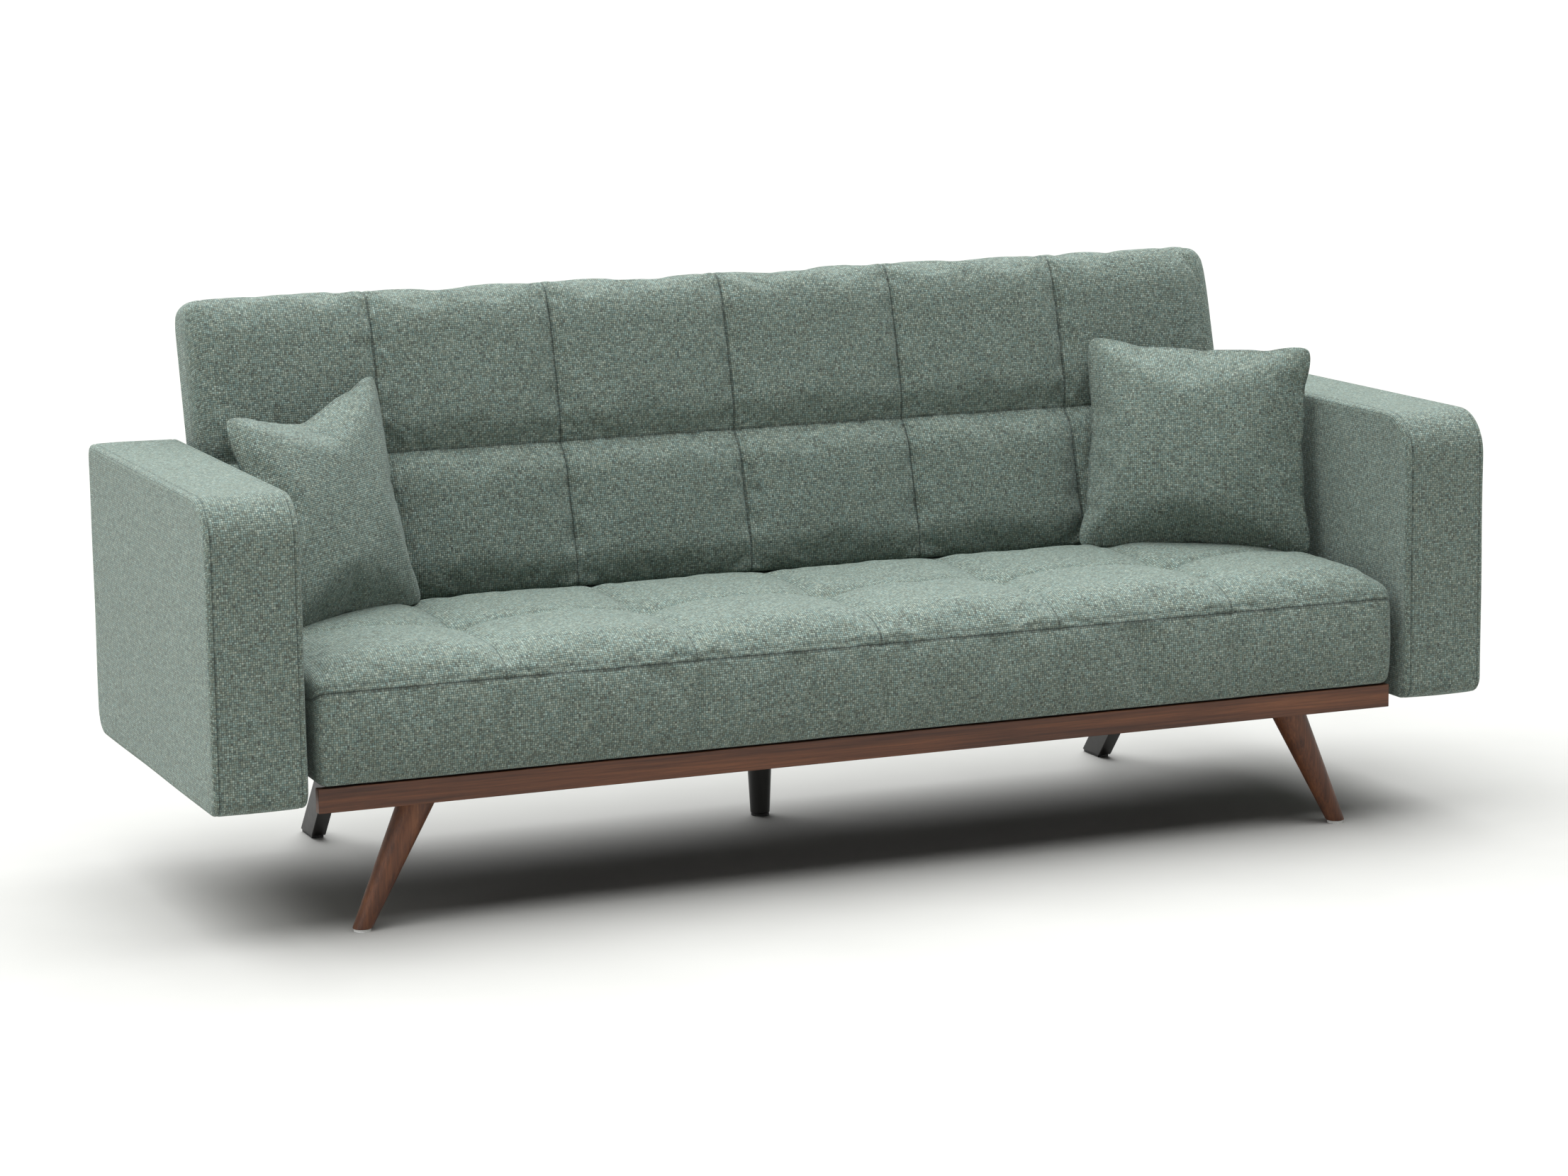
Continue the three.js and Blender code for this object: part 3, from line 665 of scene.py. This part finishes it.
def make_seat():
    ring, (_, seam_row, cross_row, nose_row, *_) = seat_ring()
    stations, seam_stations = panelled(seat_half, 16 * MM)
    piece, order, station = loft("seat_upholstery", ring, stations)
    points = points_of(piece.data)
    x, y, _ = points.T
    top = (order >= seam_row) & (order <= nose_row + 1) & (np.abs(x) < seat_half - 0.5 * MM)
    lift, to_tuft = seat_lift(points, x, y, top)
    points[:, 2] += lift
    stitched = order == seam_row + 3
    points[:, 1] += np.where(order == seam_row, 3.0 * MM, 0) + np.where(stitched, 0.7 * MM, 0)
    at_side = step(np.abs(x), seat_half - 60 * MM, seat_half)
    beside_plate = step(y, front + 520 * MM, front + 536 * MM) * at_side
    points[:, 0] -= np.sign(x) * BESIDE_PLATE * beside_plate
    face = order < seam_row
    points[:, 1] += np.where(face, unevenness(points, 1.0 * MM, 70 * MM), 0)
    held = np.where(top | face, 0.0, 1.0)
    column_line = top & np.isin(station, seam_stations)
    lines = column_line | (order == seam_row) | top & (order == cross_row)
    edges = (order < 2) | (np.abs(x) > seat_half - 20 * MM) | top & (to_tuft < 12 * MM)
    held = np.where(lines | edges, 1.0, held)
    held = np.maximum(held, step(y, front + 480 * MM, front + 520 * MM))
    set_points(piece.data, points)
    # Painted shade: a dark line in the border seam and the cross seam, fading along the column seams away from the
    # front, and fainter on the top stitching.
    faded = 0.25 + 0.55 * (1 - step(y, seat_face + 20 * MM, seat_face + 110 * MM))
    shade = np.where(order == seam_row, 1.0, 0) + np.where(column_line, faded, 0)
    shade += np.where(top & (order == cross_row), 1.0, 0) + np.where(stitched, 0.35, 0)
    paint_seam_shade(piece.data, np.clip(shade, 0, 1))
    return piece, held


seat, seat_held = make_seat()
fill_with_foam(seat, seat_held, pressure=2.0, slack=0.025, most=6 * MM)
finish_soft(seat, "base", ["seat_cushion"])

# %% [markdown]
# The back is a second quilted pad. It could be drawn where it leans, but it is easier to measure upright,
# in height along the back and depth from its seams' plane, and to lean it back afterwards. The lower
# face is cut level, so that it clears the seat's bullnose as it swings.

# %% Back section
TILT = math.radians(14.5)
back_crease_y = hinge.y - 52 * MM
back_rise = 505 * MM
back_depth = 88 * MM
middle_seam = 239 * MM
upright = Matrix.Translation((0, back_crease_y, crease_z)) @ Matrix.Rotation(-TILT, 4, "X")


def back_ring():
    fall = math.tan(TILT)
    lower = [(2 * MM, 1 * MM), (-9 * MM, 10 * MM), (-13 * MM, 45 * MM), (-14 * MM, 120 * MM),
             (-12 * MM, 200 * MM), (-3 * MM, middle_seam)]
    upper = [(-3 * MM, middle_seam), (-7 * MM, middle_seam + 35 * MM), (-7 * MM, middle_seam + 120 * MM),
             (-5 * MM, back_rise - 62 * MM), (3 * MM, back_rise - 18 * MM), (18 * MM, back_rise - 3 * MM)]
    over = [(18 * MM, back_rise - 3 * MM), (44 * MM, back_rise), (72 * MM, back_rise - 4 * MM),
            (back_depth - 3 * MM, back_rise - 24 * MM)]
    rear_rises = np.linspace(back_rise - 24 * MM, back_depth * fall + 12 * MM, 8)
    rear = [(back_depth - 3 * MM, z) for z in rear_rises]
    under = [(y * MM, y * MM * fall) for y in (76, 60, 45, 30, 18, 9)]
    front_runs = smooth_run(lower, 34, 0.5), smooth_run(upper, 32, 0.5), smooth_run(over, 12, 0.3)
    return chain(*front_runs, rear, under)


print("back section of", len(back_ring()[0]), "points, leaning", round(math.degrees(TILT), 1), "degrees")

# %% [markdown]
# The back's upper panels are thin and nearly flat; the lower ones are fuller and bulge over the middle
# seam. Its column seams run on over the top edge. Two separate rows could be modelled, but one cover
# keeps the seams in line. Each lower end is drawn in where the hinge plate stands.

# %% Back
LOW_CROWN = 11 * MM
HIGH_CROWN = 7 * MM
BACK_GROOVE = 2.6 * MM
PLATE_ROOM = 21.5 * MM


def make_back():
    ring, (_, middle_row, over_row, rear_row, *_) = back_ring()
    stations, seam_stations = panelled(back_half, 28 * MM)
    piece, order, station = loft("back_upholstery", ring, stations)
    points = points_of(piece.data)
    x, depth, rise = points.T
    free = (order < rear_row) & (np.abs(x) < back_half - 0.5 * MM)
    face = (order < over_row) & free
    place, to_column = across_panels(x, back_half)
    to_middle = np.abs(rise - middle_seam)
    end = step(back_half - np.abs(x), 10 * MM, 60 * MM)
    low_crown = LOW_CROWN * hump(place, 0.45) * step(rise, 4 * MM, 60 * MM)
    low_crown = low_crown * (1 - step(-to_middle, -26 * MM, 0))
    high_crown = HIGH_CROWN * hump(place, 0.4) * (1 - step(-to_middle, -45 * MM, 0))
    high_crown = high_crown * (1 - step(rise, back_rise - 70 * MM, back_rise - 10 * MM))
    pull, to_tuft = tuft_pull(to_column, rise - middle_seam, TUFT_DEPTH, 30 * MM)
    lift = np.where(rise < middle_seam, low_crown, high_crown) * end
    lift = lift - (3.5 * MM * np.exp(-to_middle / (6 * MM)) + pull) * end
    groove = BACK_GROOVE * np.exp(-to_column / (3.5 * MM)) * step(rise, 0, 20 * MM)
    turned = step(rise, back_rise - 40 * MM, back_rise - 6 * MM)
    waves = unevenness(points, 1.3 * MM, 55 * MM) * end * step(rise, 5 * MM, 60 * MM)
    lift = lift - groove * (1 - turned) + waves
    points[:, 1] -= np.where(face, lift * (1 - turned), 0)
    points[:, 2] -= np.where(free, 0.7 * groove * turned, 0)
    beside_plate = step(depth, 12 * MM, 22 * MM) * (1 - step(rise, 128 * MM, 150 * MM))
    beside_plate = beside_plate * step(np.abs(x), back_half - 70 * MM, back_half)
    points[:, 0] -= np.sign(x) * PLATE_ROOM * beside_plate
    held = np.where(free, 0.0, 1.0)
    column_line = free & np.isin(station, seam_stations)
    lines = column_line | free & (order == middle_row)
    edges = (order < 2) | (np.abs(x) > back_half - 34 * MM) | free & (to_tuft < 10 * MM)
    held = np.where(lines | edges, 1.0, held)
    set_points(piece.data, points)
    # Painted shade: dark lines in the middle seam and in the column seams.
    shade = np.where(free & (order == middle_row), 0.8, 0) + np.where(column_line, 0.9, 0)
    paint_seam_shade(piece.data, np.clip(shade, 0, 1))
    return piece, held


back, back_held = make_back()
fill_with_foam(back, back_held, pressure=2.0, slack=0.025, most=5 * MM)
back.data.transform(upright)
finish_soft(back, "back", ["back_cushion"])

# %% [markdown]
# A board covered in the same cloth closes the rear of the back. It could be part of the pad, but a
# tacked-on panel has an edge of its own, so it is a box with eased edges that stands a little proud. The
# same few functions make and dress every other hard piece.

# %% Rear panel
def cloth_uv(mesh):
    """Lays the weave on flat faces by the way they face: one unit to the metre."""
    layer = mesh.uv_layers.get("weave") or mesh.uv_layers.new(name="weave")
    for face in mesh.polygons:
        normal = [abs(n) for n in face.normal]
        skip = normal.index(max(normal))
        a, b = [k for k in range(3) if k != skip]
        for loop in face.loop_indices:
            co = mesh.vertices[mesh.loops[loop].vertex_index].co
            layer.data[loop].uv = (co[a], co[b])


def block(name, low, high, radius, segments=2, transform=None):
    bm = bmesh.new()
    size = Vector(high) - Vector(low)
    middle = (Vector(high) + Vector(low)) / 2
    bmesh.ops.create_cube(bm, size=1.0, matrix=Matrix.Translation(middle) @ Matrix.Diagonal((*size, 1)))
    bmesh.ops.bevel(bm, geom=list(bm.edges), affect="EDGES", offset=radius, segments=segments,
                    profile=0.5, material=-1)
    mesh = bpy.data.meshes.new(name)
    bm.to_mesh(mesh)
    bm.free()
    cloth_uv(mesh)
    if transform:
        mesh.transform(transform)
    piece = bpy.data.objects.new(name, mesh)
    bpy.context.scene.collection.objects.link(piece)
    return piece


def dress(piece, material, body, nodes=()):
    piece.data.materials.clear()
    piece.data.materials.append(material)
    piece.data.polygons.foreach_set("use_smooth", [True] * len(piece.data.polygons))
    edges = piece.modifiers.new("edge_shading", "WEIGHTED_NORMAL")
    edges.keep_sharp = True
    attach(piece, body)
    if nodes:
        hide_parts(*nodes)
    print(piece.name, "rides on", body)


panel_half = back_half - 46 * MM
rear_panel = block("back_rear_panel", (-panel_half, back_depth - 6 * MM, 42 * MM),
                   (panel_half, back_depth + 1.0 * MM, back_rise - 40 * MM), 2 * MM, 3, upright)
dress(rear_panel, cloth, "back", ["back_rear_cover"])

# %% [markdown]
# Each arm is a box of foam with a band over its top and ends between two side panels. A bevelled box
# would have no seams, so the loft runs round the band: a narrow groove at each edge of the band is the
# seam, and the cloth stands up in a soft ridge beside it. The cloth is stretched tight, so it needs no
# simulation.

# %% Arms
def arm_ring():
    low, high = arm_low, arm_high
    corners = [  # middle of each corner's arc, radius, first angle
        (high.y - 35 * MM, low.z + 35 * MM, 35 * MM, -90),
        (high.y - 18 * MM, high.z - 18 * MM, 18 * MM, 0),
        (low.y + 68 * MM, high.z - 68 * MM, 68 * MM, 90),
        (low.y + 25 * MM, low.z + 25 * MM, 25 * MM, 180),
    ]
    ring = []
    for (cy, cz, radius, first), after in zip(corners, corners[1:] + corners[:1]):
        for angle in np.radians(np.linspace(first, first + 90, 11)):
            ring.append((cy + radius * math.cos(angle), cz + radius * math.sin(angle)))
        start = np.array(ring[-1])
        turn = math.radians(after[3])
        end = np.array([after[0] + after[2] * math.cos(turn), after[1] + after[2] * math.sin(turn)])
        count = max(2, int(np.linalg.norm(end - start) / (13 * MM)))
        ring += [tuple(start + (end - start) * t) for t in np.linspace(0, 1, count + 1)[1:-1]]
    return ring


def make_arm(name, side):
    half = (arm_high.x - arm_low.x) / 2
    seam = half - 10 * MM
    end = [(seam + 1.6 * MM, 0.0, 0.0), *end_of(half, 7 * MM, 1.5 * MM)]
    middle = [(x, 0.0, 0.0) for x in crowded(-seam, seam, 26, 0.8)]
    stations = mirrored(end) + middle + [(seam, 0.0, 0.0)] + end
    piece, _, station = loft(f"arm_upholstery_{name}", arm_ring(), stations)
    points = points_of(piece.data)
    x = points[:, 0]
    on_band = np.abs(x) < half - 6 * MM
    at_seam = np.isin(station, [len(end), len(end) + len(middle)])
    centre = np.array([(arm_low.y + arm_high.y) / 2, (arm_low.z + arm_high.z) / 2])
    inward = centre[None] - points[:, 1:]
    inward /= np.maximum(np.linalg.norm(inward, axis=1, keepdims=True), 1 * MM)
    sink = np.where(at_seam, 2.4 * MM, 0)
    sink = sink + np.where(on_band, unevenness(points + side, 0.8 * MM, 50 * MM), 0)
    sink = sink - np.where(on_band & ~at_seam, 0.8 * MM * hump((x / seam + 1) / 2, 0.5), 0)
    points[:, 1:] += inward * sink[:, None]
    flat = np.abs(x) > half - 3 * MM
    points[:, 0] += np.where(flat, unevenness(points + 2 * side, 0.9 * MM, 70 * MM), 0)
    points[:, 0] += side * (arm_inside + half)
    set_points(piece.data, points)
    # Painted shade: a dark line in the seam at each edge of the band.
    paint_seam_shade(piece.data, np.where(at_seam, 0.85, 0))
    finish_soft(piece, "base", [f"arm_{name}"])


make_arm("left", -1)
make_arm("right", 1)

# %% [markdown]
# A throw pillow is two squares of cloth sewn round the edge and stuffed. A squashed sphere has no ears,
# so it is made as it is sewn and simulated flat: pressure fills it, the edges draw in between the corners
# and the corners stay out. Then it is laid where it leans, between its four corner points.

# %% Throw pillows
PILLOW_SIDE = 0.39
PILLOW_CELLS = 56
PILLOW_THICKNESS = 112 * MM
EDGE_DRAW = 0.34  # how much of the simulated drawing-in of the edges is kept
CHOP = 30 * MM  # the dent in the left pillow's top edge


def sewn_square(name):
    bm = bmesh.new()
    half = PILLOW_SIDE / 2
    bmesh.ops.create_grid(bm, x_segments=PILLOW_CELLS, y_segments=PILLOW_CELLS, size=half)
    weave = bm.loops.layers.uv.new("weave")
    for face in bm.faces:
        for loop in face.loops:
            loop[weave].uv = loop.vert.co.xy
    thick = bmesh.ops.extrude_face_region(bm, geom=list(bm.faces))["geom"]
    upper = [g for g in thick if isinstance(g, bmesh.types.BMVert)]
    bmesh.ops.translate(bm, verts=upper, vec=(0, 0, 6 * MM))
    bmesh.ops.recalc_face_normals(bm, faces=bm.faces)
    mesh = bpy.data.meshes.new(name)
    bm.to_mesh(mesh)
    bm.free()
    points = points_of(mesh)
    u = points[:, 0] / half
    v = points[:, 1] / half
    loft_up = 26 * MM * hump((u + 1) / 2, 0.8) * hump((v + 1) / 2, 0.8)
    points[:, 2] = np.where(points[:, 2] > 3 * MM, 1, -1) * (1.2 * MM + loft_up)
    points[:, :2] *= (1 - 0.035 * (np.abs(u * v) ** 12))[:, None]
    set_points(mesh, points)
    piece = bpy.data.objects.new(name, mesh)
    bpy.context.scene.collection.objects.link(piece)
    return piece


def lean(piece, corners, thickness, chop):
    """Lays a flat pillow on the twisted square between four corner points."""
    points = points_of(piece.data)
    size = np.abs(points[:, :2]).min(1)
    tips = np.argsort(size)[-8:]
    half = size[tips].mean()
    u = (points[:, 0] / half + 1) / 2
    v = (points[:, 1] / half + 1) / 2
    low_left, low_right, high_left, high_right = [np.array(c) for c in corners]
    low = low_left + (low_right - low_left) * u[:, None]
    high = high_left + (high_right - high_left) * u[:, None]
    middle = low + (high - low) * v[:, None]
    up = (high - low) / np.linalg.norm(high - low, axis=1, keepdims=True)
    along_width = low_right + high_right - low_left - high_left
    along_height = high_left + high_right - low_left - low_right
    across = np.cross(along_width, along_height)
    across /= np.linalg.norm(across)
    scale = thickness / np.ptp(points[:, 2])
    dip = chop * np.exp(-(((u - 0.46) / 0.26) ** 2)) * np.clip(v, 0, 1) ** 3
    placed = middle + across[None] * (points[:, 2] * scale)[:, None] - up * dip[:, None]
    set_points(piece.data, placed)


def make_pillow(name, corners, chop):
    piece = sewn_square(f"throw_pillow_{name}")
    points = points_of(piece.data)
    rim = np.abs(points[:, :2]).max(1) > PILLOW_SIDE / 2 - 0.5 * MM
    free = np.zeros(len(points))
    fill_with_foam(piece, free, pressure=5.0, slack=0.0, most=0.12, frames=22, stiffness=25.0)
    swollen = points_of(piece.data)
    swollen[:, :2] = points[:, :2] + EDGE_DRAW * (swollen[:, :2] - points[:, :2])
    set_points(piece.data, swollen)
    lean(piece, corners, PILLOW_THICKNESS, chop)
    # Painted shade: a faint dark line round the sewn rim.
    paint_seam_shade(piece.data, np.where(rim, 0.5, 0))
    finish_soft(piece, f"{name}_pillow", [f"pillow_{name}"])


def corner(side, inset, ahead, up):
    return (side * (arm_inside - inset * MM), back_crease_y - ahead * MM, seat_high.z + (6 + up) * MM)


left_corners = [
    corner(-1, 27, 278, 0), corner(-1, 323, 76, 0), corner(-1, 11, 118, 310), corner(-1, 299, -60, 340)
]
right_corners = [
    corner(1, 339, 58, 0), corner(1, 35, 284, 0), corner(1, 269, -48, 330), corner(1, 15, 246, 330)
]
make_pillow("left", left_corners, CHOP)
make_pillow("right", right_corners, 0.0)

# %% [markdown]
# The right pillow's cover closes with a zip along its lower edge; only the little plated pull shows. A
# whole zip could be made, but it lies hidden in the seam, so the pull alone is a small block with eased
# edges, set at its place along the edge.

# %% Zip pull
def make_zip_pull():
    start, end = right_corners[0], right_corners[1]
    along = Vector(end) - Vector(start)
    place = Vector(start) + along * 0.84 + Vector((0, 0, 9 * MM))
    turn = Matrix.Translation(place) @ along.to_track_quat("X", "Z").to_matrix().to_4x4()
    low, high = (-2.2 * MM, -15 * MM, -0.8 * MM), (2.2 * MM, -1 * MM, 0.8 * MM)
    pull = block("zip_pull", low, high, 0.6 * MM, 2, turn)
    dress(pull, zinc_plate, "right_pillow")


make_zip_pull()

# %% [markdown]
# The front legs are turned and tapered, then set on a slant so that they splay. A turned profile could be
# spun, but a straight taper is just a cone with its end edges rounded over. Turning it would tip its
# ends, so a shear carries the foot outwards, which keeps both ends level. The rail is a plain board.

# %% Legs and rail
def tapered_leg(name, node_name, top_radius, foot_radius, lean_out):
    low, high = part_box(node_name)
    height = high.z - low.z
    foot_x = (low.x + foot_radius) if lean_out < 0 else (high.x - foot_radius)
    if lean_out == 0:
        foot_x = (low.x + high.x) / 2
    middle_y = (low.y + high.y) / 2
    bm = bmesh.new()
    bmesh.ops.create_cone(bm, cap_ends=True, segments=64, radius1=foot_radius, radius2=top_radius,
                          depth=height, matrix=Matrix.Translation((0, 0, height / 2)))
    rims = [e for e in bm.edges if abs(e.verts[0].co.z - e.verts[1].co.z) < 1e-6]
    bmesh.ops.bevel(bm, geom=rims, affect="EDGES", offset=1.6 * MM, segments=3, profile=0.5, material=-1)
    slant = Matrix.Identity(4)
    slant[0][2] = -lean_out / height
    bmesh.ops.transform(bm, matrix=Matrix.Translation((foot_x, middle_y, low.z)) @ slant, verts=bm.verts)
    mesh = bpy.data.meshes.new(name)
    bm.to_mesh(mesh)
    bm.free()
    piece = bpy.data.objects.new(name, mesh)
    bpy.context.scene.collection.objects.link(piece)
    return piece


for name, side in (("left", -1), ("right", 1)):
    leg = tapered_leg(f"splayed_leg_{name}", f"front_leg_{name}", 29 * MM, 15 * MM, side * 90 * MM)
    dress(leg, walnut_leg, "base", [f"front_leg_{name}"])

middle_leg = tapered_leg("middle_leg", "centre_leg", 25 * MM, 16 * MM, 0)
dress(middle_leg, black_lacquer, "base", ["centre_leg"])

rail_low, rail_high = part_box("front_rail")
rail = block("walnut_front_rail", rail_low, rail_high, 1.2 * MM, 3)
dress(rail, walnut_rail, "base", ["front_rail"])

# %% [markdown]
# The rear legs are flat bars, raked backwards and cut level at both ends. A turned block would need its
# ends cut again, so a block with eased edges is sheared along Y and lies just where the frame's bar does.

# %% Rear legs
def raked_bar(name, node_name, depth):
    low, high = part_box(node_name)
    height = high.z - low.z
    run = (high.y - low.y) - depth
    slant = Matrix.Identity(4)
    slant[1][2] = -run / height
    place = Matrix.Translation((0, high.y - depth, low.z)) @ slant
    return block(name, (low.x, 0, 0), (high.x, depth, height), 1.5 * MM, 3, place)


for name in ("left", "right"):
    bar = raked_bar(f"raked_leg_{name}", f"rear_leg_{name}", 63 * MM)
    dress(bar, black_lacquer, "base", [f"rear_leg_{name}"])

# %% [markdown]
# The hinges, boards, slats, plates and pads keep their frame shape, which is already exact. They could be
# modelled again with eased edges, but most of them are hidden, so each only gets the finish of what it
# is made of.

# %% Finishes on frame parts
FINISHES = {
    "plain_timber": pine,
    "zinc_plated_steel": zinc_plate,
    "white_glide_plastic": white_glide,
    "black_pad_plastic": black_pad,
    "black_lacquered_wood": black_lacquer,
    "dust_cover_cloth": lining,
    "walnut_finish": walnut_rail,
    "basket_weave_fabric": cloth,
}
for part in frame["record"]["subparts"]:
    mesh = frame["nodes"][part["node"]].data
    mesh.materials.clear()
    mesh.materials.append(FINISHES[part["material_slot"]])

# %% [markdown]
# The studio is a wide, pale, painted floor that runs out to a low round wall. A curved paper sweep would hide the
# horizon from one side only; a ring hides it from every side. Neither is part of the sofa.

# %% Floor and studio wall
STUDIO_RADIUS = 60.0
WALL_HEIGHT = 9.0
FLOOR_DROP = 0.2 * MM  # keeps the floor just under the feet


def pale_paint(name, dark, light):
    material, tree, shader = new_material(name)
    mottle = node(tree, "TexNoise", Vector=node(tree, "TexCoord", out="Object"), Scale=3.0, Detail=3.0)
    colour = node(tree, "ValToRGB", mottle, stops=[(0.3, dark), (0.7, light)])
    wire(shader, Base_Color=colour, Roughness=0.9)
    return material


def stage_piece(name, bm, material):
    mesh = bpy.data.meshes.new(name)
    bm.to_mesh(mesh)
    bm.free()
    mesh.materials.append(material)
    piece = bpy.data.objects.new(name, mesh)
    bpy.context.scene.collection.objects.link(piece)
    print("stage", name)


ground = bmesh.new()
bmesh.ops.create_grid(ground, x_segments=2, y_segments=2, size=STUDIO_RADIUS,
                      matrix=Matrix.Translation((0, 0, -FLOOR_DROP)))
stage_piece("studio_floor", ground, pale_paint("pale_painted_floor", "#aaa8a4", "#aeaca8"))
wall = bmesh.new()
bmesh.ops.create_cone(wall, cap_ends=False, segments=96, radius1=STUDIO_RADIUS, radius2=STUDIO_RADIUS,
                      depth=WALL_HEIGHT, matrix=Matrix.Translation((0, 0, WALL_HEIGHT / 2)))
bmesh.ops.reverse_faces(wall, faces=wall.faces)
stage_piece("studio_wall", wall, pale_paint("pale_painted_wall", "#f2f1ef", "#f5f4f2"))
